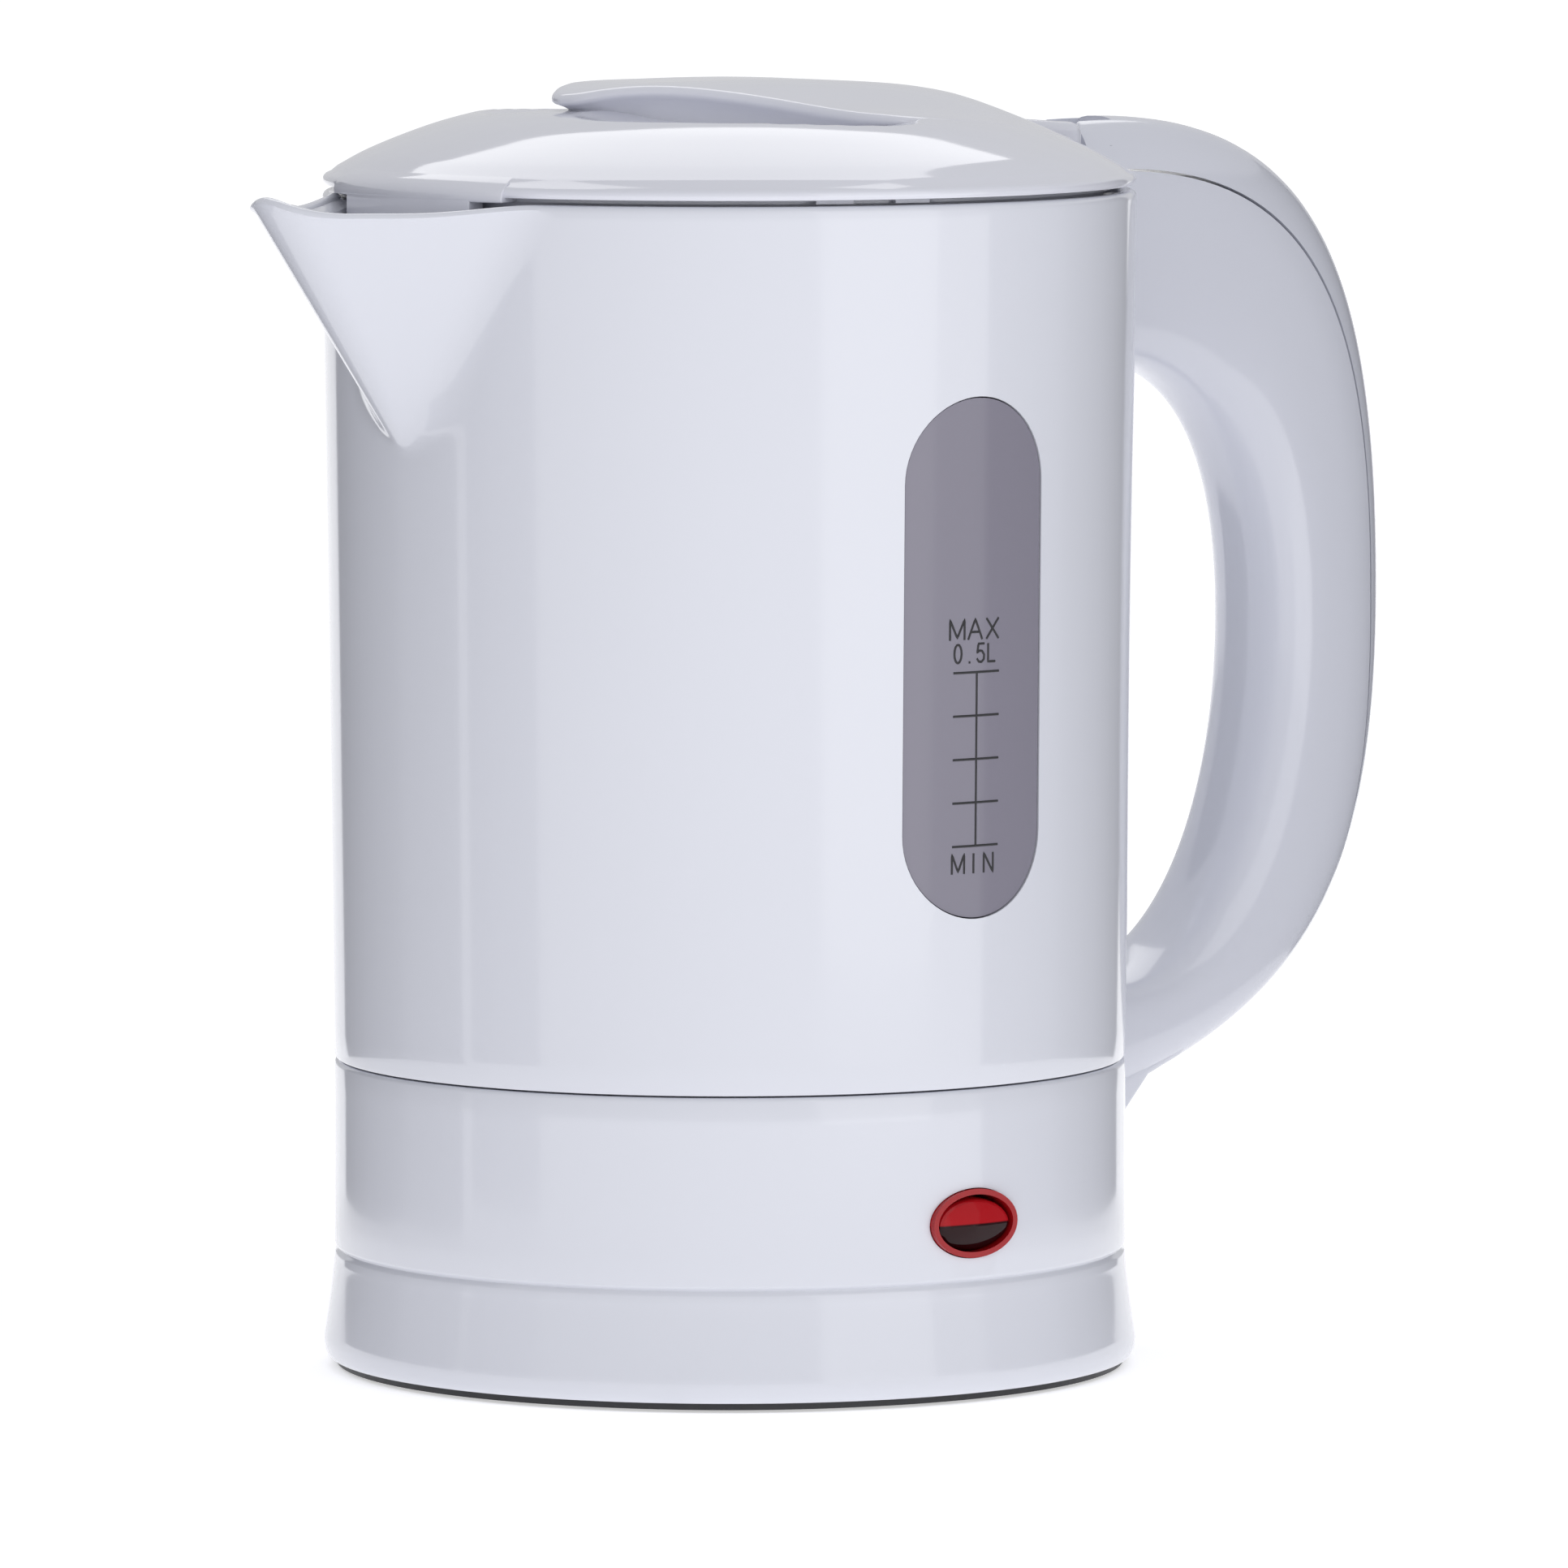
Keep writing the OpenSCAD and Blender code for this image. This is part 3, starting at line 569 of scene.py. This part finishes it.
# Each letter's strokes, in a box one wide and one high.
LETTERS = {
    "M": [[(0, 0), (0, 1), (0.5, 0.1), (1, 1), (1, 0)]],
    "A": [[(0, 0), (0.5, 1), (1, 0)], [(0.2, 0.36), (0.8, 0.36)]],
    "X": [[(0.05, 0), (0.95, 1)], [(0.05, 1), (0.95, 0)]],
    "I": [[(0.5, 0), (0.5, 1)]],
    "N": [[(0.1, 0), (0.1, 1), (0.9, 0), (0.9, 1)]],
    "L": [[(0.1, 1), (0.1, 0), (0.9, 0)]],
    "5": [[(0.9, 1), (0.25, 1), (0.12, 0.52), (0.35, 0.62), (0.65, 0.6), (0.88, 0.4), (0.85, 0.15),
           (0.6, 0), (0.3, 0.02), (0.08, 0.2)]],
    "0": [[(0.5 + 0.38 * math.sin(i * math.pi / 8), 0.5 + 0.5 * math.cos(i * math.pi / 8))
           for i in range(17)]],
    ".": [[(0.42, 0.01), (0.58, 0.01)]],
}


def level_print():
    """A plain level scale on the window, with generic marks."""
    curve = bpy.data.curves.new("level_print", "CURVE")
    curve.dimensions = "3D"
    curve.bevel_depth = 0.19 * MM
    curve.bevel_resolution = 2
    curve.use_fill_caps = True

    def stroke(points):
        dense = []
        for (x0, z0), (x1, z1) in zip(points, points[1:]):
            dense += [(x0 + (x1 - x0) * k / 8, z0 + (z1 - z0) * k / 8) for k in range(8)]
        dense.append(points[-1])
        line = curve.splines.new("POLY")
        line.points.add(len(dense) - 1)
        for point, (x, z) in zip(line.points, dense):
            r = body_radius(z) - PANE_DEPTH - 0.08
            point.co = (x * MM, -math.sqrt(r * r - x * x) * MM, z * MM, 1)

    def word(text, middle, low, tall, wide, gap):
        left = middle - (len(text) * wide + (len(text) - 1) * gap) / 2
        for letter in text:
            for line in LETTERS[letter]:
                stroke([(left + u * wide, low + v * tall) for u, v in line])
            left += wide + gap

    top, bottom, half = 96.2, 73.4, 3.75
    for i in range(5):
        z = top + (bottom - top) * i / 4
        stroke([(-half, z), (half, z)])
    stroke([(0, bottom), (0, top)])
    word("MAX", -0.3, 100.5, 2.7, 2.3, 0.6)
    word("0.5L", -0.3, 97.5, 2.4, 1.5, 0.35)
    word("MIN", -0.3, 69.8, 2.6, 1.95, 0.55)
    obj = bpy.data.objects.new("level_print", curve)
    bpy.context.collection.objects.link(obj)
    obj.data.materials.append(finish("black_plastic"))
    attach(obj, "kettle")


# ---- Base ----

GROOVE_Z = 15.9
FLARE_R = 54.45                 # the widest place
FLARE_Z = 3.9                   # its height
FOOT_Z = 1.3                    # the lower edge
SWITCH_SIZE = (13.9, 9.1)       # the red rim, width and height
ROCKER_SIZE = (12, 6.9)


def base_profile():
    """From the seam down past the groove and the flare, and up inside."""
    outer = [(51, SEAM_Z - 0.2), (JUG_R - 0.55, SEAM_Z - 0.2), (JUG_R - 0.2, SEAM_Z - 0.35),
             (JUG_R, SEAM_Z - 0.8)]
    outer += [(JUG_R, z) for z in steps(SEAM_Z - 4, GROOVE_Z + 4, 5)]
    outer += [(JUG_R, GROOVE_Z + 0.75), (JUG_R - 0.1, GROOVE_Z + 0.45), (JUG_R - 0.42, GROOVE_Z + 0.2),
              (JUG_R - 0.5, GROOVE_Z), (JUG_R - 0.42, GROOVE_Z - 0.2), (JUG_R - 0.1, GROOVE_Z - 0.45),
              (JUG_R + 0.02, GROOVE_Z - 0.75)]
    outer += [(JUG_R + (FLARE_R - JUG_R) * u ** 1.25, GROOVE_Z - 0.75 + (FLARE_Z + 0.75 - GROOVE_Z) * u)
              for u in steps(0, 1, 12)[1:]]
    rounded, drop = 0.9, FLARE_Z - FOOT_Z
    turns = [math.radians(a) for a in (12, 24, 36, 48, 60, 72, 84)]
    outer += [(FLARE_R - rounded * (1 - math.cos(t)), FLARE_Z - drop * math.sin(t)) for t in turns]
    return outer + [(53.2, FOOT_Z), (51.3, FOOT_Z), (51.3, GROOVE_Z - 3), (51, GROOVE_Z)]


def oval(width, height, n=64):
    turns = [2 * math.pi * i / n for i in range(n)]
    return [(width / 2 * math.cos(t), height / 2 * math.sin(t)) for t in turns]


def base_skin():
    """The base shell with the inlet's boss and socket and the switch's opening."""
    obj = turned("base_skin", base_profile())
    low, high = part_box("inlet_body")
    mid_z, mouth = (low.z + high.z) / 2 / MM, high.x / MM + 0.4

    def lying(width, length):
        return [(z - mid_z, x) for x, z in stadium(width, mid_z - length / 2, mid_z + length / 2)]

    boss = prism("boss", lying(12, 22), lambda u, v, w: (w, u, mid_z + v), 51.5, mouth)
    soften(boss, 0.6)
    bake(boss)
    cut(obj, boss, "UNION")
    cut(obj, prism("socket", lying(9.3, 19.3), lambda u, v, w: (w, u, mid_z + v), 40, 62))
    switch_low, switch_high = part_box("switch_body")
    switch_z = (switch_low.z + switch_high.z) / 2 / MM
    hole = oval(SWITCH_SIZE[0] + 0.2, SWITCH_SIZE[1] + 0.2)
    cut(obj, prism("switch_hole", hole, lambda u, v, w: (u, -w, switch_z + v), 45, 60))
    smooth_again(obj)
    soften(obj, 0.15, angle=50)
    return settle(obj, "kettle", "white_plastic", "base_housing")


# ---- Switch ----

def switch_frame():
    """The red oval rim, rounded over, that stands just proud of the base."""
    low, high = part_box("switch_body")
    z0, front = (low.z + high.z) / 2 / MM, -low.y / MM
    back = 47
    width, height = SWITCH_SIZE
    # How much narrower than the rim's outside, and how far out.
    shape = [(0, 48.5), (0, front - 0.75), (0.15, front - 0.35), (0.5, front - 0.08), (0.9, front),
             (1.2, front - 0.08), (1.45, front - 0.3), (1.5, front - 0.7), (1.5, back), (0, back)]
    rings = [[(x, -y, z0 + z) for x, z in oval(width - less, height - less, 96)] for less, y in shape]
    obj = loft("switch_frame", rings, closed_run=True, angle=60)
    outward(obj)
    settle(obj, "kettle", "switch_red")
    # The rim's lower half gets painted shade: its red turns to a deeper red below the switch's middle height.
    obj.data.materials[0] = lens("switch_rim_mat", z0 * MM, (0.24, 0.004, 0.007), 0.3)
    return obj


def rocker_skin():
    """The red rocker: an oval pad with a crease across its middle."""
    pivot = joint_place("switch_rock")
    tilt = math.radians(5)
    width, height = ROCKER_SIZE
    rings = []
    for scale, depth in ((1, -2), (1, 2.3), (0.985, 2.9), (0.95, 3.25), (0.88, 3.45), (0.7, 3.62),
                         (0.45, 3.78), (0.2, 3.9), (0.02, 3.97)):
        ring = []
        for x, z in oval(width * scale, height * scale, 96):
            # The two halves slope back from the crease.
            y = -depth if depth < 2 else 0.504 * abs(z) / (height / 2) - 0.29 - depth
            ring.append((x + pivot.x, pivot.y + y * math.cos(tilt) - z * math.sin(tilt),
                         pivot.z + y * math.sin(tilt) + z * math.cos(tilt)))
        rings.append(ring)
    obj = loft("rocker_skin", rings, angle=12)
    outward(obj)
    settle(obj, "rocker", "rocker_red", "switch_rocker")
    # The rocker's lower half gets painted shade: near-black below the pivot's height.
    obj.data.materials[0] = lens("rocker_lens_mat", pivot.z * MM, (0.02, 0.002, 0.003))
    return obj


# ---- Lid ----

# The dome's height at each radius.
DOME = [(0, 168.6), (12, 168.55), (22, 168.6), (27, 168.5), (32, 168.05), (38, 166.65), (43.3, 164.85),
        (48.7, 162.6), (52.3, 160.65)]
# The grip's height above the dome along X.
RIDGE = [(-28.5, 2.0), (-24, 2.9), (-18, 3.5), (-10, 3.65), (0, 3.65), (10, 3.4), (20, 2.8), (30, 1.9),
         (38, 0.8), (44, 0.4), (50, 0.1), (53, 0)]
# The edge of the lid outside the dome, down and round to its underside: radius and height.
LID_EDGE = [(53.2, 159.9), (53.8, 159.65), (54.12, 159.35), (54.25, 158.95), (54.2, 158.55), (54.0, 158.3),
            (53.6, 158.2), (51.2, 158.2), (50.9, 158.6), (50.9, 159.4)]
# The middle of the hollow, its half length and half width, its depth, and the way it lies.
HOLLOW_AT = (-12, 20)
HOLLOW_SIZE = (23, 11)
HOLLOW_DEPTH = 3.6
HOLLOW_LIES = (0.797, 0.604)


def dome_height(x, y):
    """The lid's dome, with a hollow on each side under the brow of the grip."""
    top = curve_at(DOME, math.hypot(x, y))
    dx, dy = x - HOLLOW_AT[0], abs(y) - HOLLOW_AT[1]
    lengthwise = dx * HOLLOW_LIES[0] + dy * HOLLOW_LIES[1]
    across = dy * HOLLOW_LIES[0] - dx * HOLLOW_LIES[1]
    hollow = 1 - (lengthwise / HOLLOW_SIZE[0]) ** 2 - (across / HOLLOW_SIZE[1]) ** 2
    return top - HOLLOW_DEPTH * max(hollow, 0)


def grip_height(x, y):
    """The grip is a smooth ridge on the dome that fades out to its sides and its back."""
    return curve_at(DOME, math.hypot(x, y)) + curve_at(RIDGE, x) * (1 - ease((abs(y) - 5) / 25)) + 0.03


def lid_skin():
    """The lid's dome, its rounded edge and its inside."""
    n, thick = 300, 1.9

    def dome_ring(r, drop):
        return [(x, y, dome_height(x, y) - drop) for x, y in circle(0, 0, r, n)]

    rings = [dome_ring(r, 0) for r in steps(0.5, 52.3, 90)]
    rings += [[(x, y, z) for x, y in circle(0, 0, r, n)] for r, z in LID_EDGE]
    rings += [dome_ring(r, thick) for r in reversed(steps(0.5, 47.5, 12))]
    obj = loft("lid_skin", rings)
    outward(obj)
    soften(obj, 0.15, angle=50)
    return settle(obj, "lid", "lid_plastic", "lid_shell")


# The grip's outline in plan, from its beak along the brow to its back.
BROW = [(-28.4, 0), (-27.4, 2.8), (-24.6, 5.6), (-20, 8.8), (-15, 12.2), (-10.2, 16), (-6, 20.2),
        (-2.6, 24.8), (0.4, 29), (4, 32.4), (10, 34), (17, 33.8), (26, 32), (36, 27), (44, 19),
        (49, 9), (50.5, 0)]


def brow_line():
    """The grip's outline in plan, once round."""
    n = 96
    xs = [(i, p[0]) for i, p in enumerate(BROW)]
    ys = [(i, p[1]) for i, p in enumerate(BROW)]
    half = [(curve_at(xs, u), curve_at(ys, u)) for u in steps(0, len(BROW) - 1, n)]
    return half + [(x, -y) for x, y in reversed(half[1:-1])]


def grip_skin():
    """The grip: a beak in front, a brow that overhangs the two hollows, a back that runs into the dome."""
    outline = brow_line()
    axis = [(min(max(x, -18), 40), 0) for x, y in outline]
    reach = [math.hypot(x - a, y - b) for (x, y), (a, b) in zip(outline, axis)]

    def ring(inset, drop, floor=None):
        points = []
        for (x, y), (a, b), far in zip(outline, axis, reach):
            t = min(inset / far, 0.97)
            px, py = x + (a - x) * t, y + (b - y) * t
            z = floor if floor else grip_height(px, py) - drop
            points.append((px, py, z))
        return points

    # From inside the dome up under the brow, over its edge and in towards the axis.
    edge = ((3.4, 5.0), (3.0, 3.6), (2.2, 2.5), (1.1, 1.75), (0.35, 1.35), (0.04, 1.0), (0, 0.7),
            (0.1, 0.38), (0.4, 0.12), (0.85, 0.01), (1.5, 0))
    rings = [ring(3.6, 0, 161.5)] + [ring(inset, drop) for inset, drop in edge]
    for t in steps(0.12, 0.96, 18):
        points = []
        for (x, y), (a, b), far in zip(outline, axis, reach):
            k = max(t, 2 / far)
            px, py = x + (a - x) * k, y + (b - y) * k
            points.append((px, py, grip_height(px, py)))
        rings.append(points)
    obj = loft("grip_skin", rings, angle=60, mirrored_top=True)
    outward(obj)
    return settle(obj, "lid", "lid_plastic")


def arc_bar(name, profile, half):
    """A bar bent round the jug's axis at the spout's side, from its (radius, height) profile."""
    rings = []
    for a in steps(180 - half, 180 + half, 32):
        c, s = math.cos(math.radians(a)), math.sin(math.radians(a))
        rings.append([(r * c, r * s, z) for r, z in profile])
    obj = loft(name, rings)
    outward(obj)
    soften(obj, 0.2, angle=50)
    return settle(obj, "lid", "lid_plastic")


def lid_skirts():
    """The two steps over the spout."""
    upper = [(51.2, RIM_Z + 0.12), (54.7, RIM_Z + 0.12), (54.8, RIM_Z + 0.4), (54.8, 158.3),
             (54.65, 158.9), (54.2, 159.5), (53.4, 160.1), (52.4, 160.65), (51.2, 161.2)]
    lower = [(51.8, 153.5), (54.6, 153.5), (54.78, 153.8), (54.78, RIM_Z + 1), (51.8, RIM_Z + 1)]
    arc_bar("skirt_upper", upper, 20)
    arc_bar("skirt_lower", lower, 14.5)


def lid_tail():
    """The block at the back of the dome, in front of the handle."""
    line = [(41, 161.6), (41, 166.0), (45, 165.9), (49, 165.6), (53.6, 165.3), (53.6, 159.4), (50, 159.4)]
    tail = prism("lid_tail", line, lambda u, v, w: (u, w, v), -9, 9)
    outward(tail)
    soften(tail, 1.6, segments=5)
    return settle(tail, "lid", "lid_plastic")


def lid_lug():
    """The lug that turns on the hinge pin."""
    pin = joint_place("lid_hinge")
    lug_r, hole_r, half_w = 2.4, 1.05, 3
    outline = [(50.4, 159.2), (pin.x, pin.z - lug_r)]
    outline += [(pin.x + lug_r * math.sin(math.radians(a)), pin.z - lug_r * math.cos(math.radians(a)))
                for a in range(15, 181, 15)]
    outline += [(50.4, 162.0)]
    lug = prism("lid_lug", outline, lambda u, v, w: (u, w, v), -half_w, half_w)
    cut(lug, prism("pin_hole", circle(pin.x, pin.z, hole_r), lambda u, v, w: (u, w, v), -5, 5))
    smooth_again(lug)
    soften(lug, 0.2)
    return settle(lug, "lid", "lid_plastic")


# ---- Handle ----

# Three lines in the plane Y = 0, each of two Bezier curves from the top down: the handle's back, its
# finger side, and the joint between the handle and its cap.
BACK = (((50, 165.2), (95.4, 169.4), (108.6, 150.1), (108.6, 99.9)),
        ((108.6, 99.9), (108.6, 65), (100.8, 43.1), (58, 31)))
GRIP = (((50, 131.5), (74.9, 136.6), (87.5, 122.3), (87.5, 95.8)),
        ((87.5, 95.8), (87.5, 69), (75.2, 41), (50, 50.4)))
SEAM = (((50, 158.2), (93, 161.8), (104, 139.5), (104, 100)),
        ((104, 100), (104.2, 84), (104, 70), (96.5, 55)))
HANDLE_HALF_W = 9.8


def bezier(points, u):
    v = 1 - u
    weights = (v ** 3, 3 * u * v * v, 3 * u * u * v, u ** 3)
    return Vector([sum(w * p[i] for w, p in zip(weights, points)) for i in (0, 1)])


def along(pair, u):
    """A point of a line of two curves, u from 0 to 1."""
    return bezier(pair[0], 2 * u) if u < 0.5 else bezier(pair[1], 2 * u - 1)


def handle_solid(name, inset=0.0):
    """The whole handle, with a section between an oval and a rectangle."""
    n, power = 64, 0.75
    rings = []
    for u in steps(0, 1, 110):
        b, g = along(BACK, u), along(GRIP, u)
        mid, across = (b + g) / 2, b - g
        half, side = across.length / 2 - inset, HANDLE_HALF_W - inset
        across.normalize()
        ring = []
        for i in range(n):
            a = 2 * math.pi * i / n
            c = math.copysign(abs(math.cos(a)) ** power, math.cos(a))
            s = math.copysign(abs(math.sin(a)) ** power, math.sin(a))
            ring.append((mid.x + across.x * half * c, side * s, mid.y + across.y * half * c))
        rings.append(ring)
    obj = loft(name, rings)
    outward(obj)
    return obj


def handle_room():
    """What the jug, the lid and the base take up of the handle's ends."""
    profile = [(0.5, 20), (JUG_R + 0.05, 20), (JUG_R + 0.05, SEAM_Z), (RIM_R + 0.05, RIM_Z + 0.25),
               (55.5, RIM_Z + 0.3), (55.5, 171), (0.5, 171)]
    return turned("room", profile)


def behind_seam(gap):
    """All that lies behind the joint line, moved back by the gap."""
    line = [bezier(SEAM[0], t) for t in steps(0, 1, 40)] + [bezier(SEAM[1], t) for t in steps(0, 1, 40)[1:]]
    outline = [(p.x + gap, p.y + gap) for p in line] + [(130, 55), (130, 190), (50, 190)]
    return prism("behind", outline, lambda u, v, w: (u, w, v), -20, 20)


def foot_web():
    """The piece that joins the handle's foot to the base."""
    outline = [(50, 28.1), (60.2, 28.3), (66, 35.0), (72, 37.5), (74, 44), (50, 46)]
    obj = prism("web", outline, lambda u, v, w: (u, w, v), -8, 8)
    outward(obj)
    soften(obj, 0.8, segments=3)
    bake(obj)
    return obj


def handle_front():
    """The handle on the finger side, with the wells of its two screws."""
    obj = handle_solid("handle_front_skin")
    cut(obj, foot_web(), "UNION")
    cut(obj, behind_seam(-0.04))
    cut(obj, handle_room())
    for y in (-3.4, 3.4):
        cut(obj, prism("well", circle(59.5, y, 2.9), lambda u, v, w: (u, v, w), 20, 33))
    smooth_again(obj, 30)
    soften(obj, 0.25, angle=30)
    return settle(obj, "kettle", "handle_plastic", "handle_shell")


def handle_back():
    """The cap along the handle's back, cleared for the lid's lug and the swing of the lid."""
    obj = handle_solid("handle_back_skin", 0.02)
    cut(obj, behind_seam(0.28), "INTERSECT")
    cut(obj, handle_room())
    pin, sweep_r = joint_place("lid_hinge"), 4.85
    arc = [(pin.x + sweep_r * math.cos(math.radians(a)), pin.z + sweep_r * math.sin(math.radians(a)))
           for a in range(104, 181, 4)]
    sweep = [(58.03, 171), (50, 171), (50, pin.z)] + arc[::-1]
    cut(obj, prism("sweep", sweep, lambda u, v, w: (u, w, v), -20, 20))
    slot_end, slot_half = 62.4, 3.5
    slot = [(50, -slot_half), (slot_end, -slot_half), (slot_end, slot_half), (50, slot_half)]
    cut(obj, prism("slot", slot, lambda u, v, w: (u, v, w), RIM_Z + 0.4, 180))
    smooth_again(obj, 30)
    soften(obj, 0.3, angle=30, segments=3)
    return settle(obj, "kettle", "handle_plastic", "handle_cover")


# ---- The CAD's own pieces ----

def paint_nodes():
    """Gives each CAD node the material that its record row names."""
    for name, obj in frame["nodes"].items():
        row = next(p for p in frame["record"]["subparts"] if p["node"] == name)
        obj.data.materials.clear()
        obj.data.materials.append(finish(row["material_slot"]))
        smooth_again(obj, 30)


camera()
studio()
paint_nodes()
jug_skin()
window_skin()
level_print()
base_skin()
switch_frame()
rocker_skin()
lid_skin()
grip_skin()
lid_skirts()
lid_tail()
lid_lug()
handle_front()
handle_back()
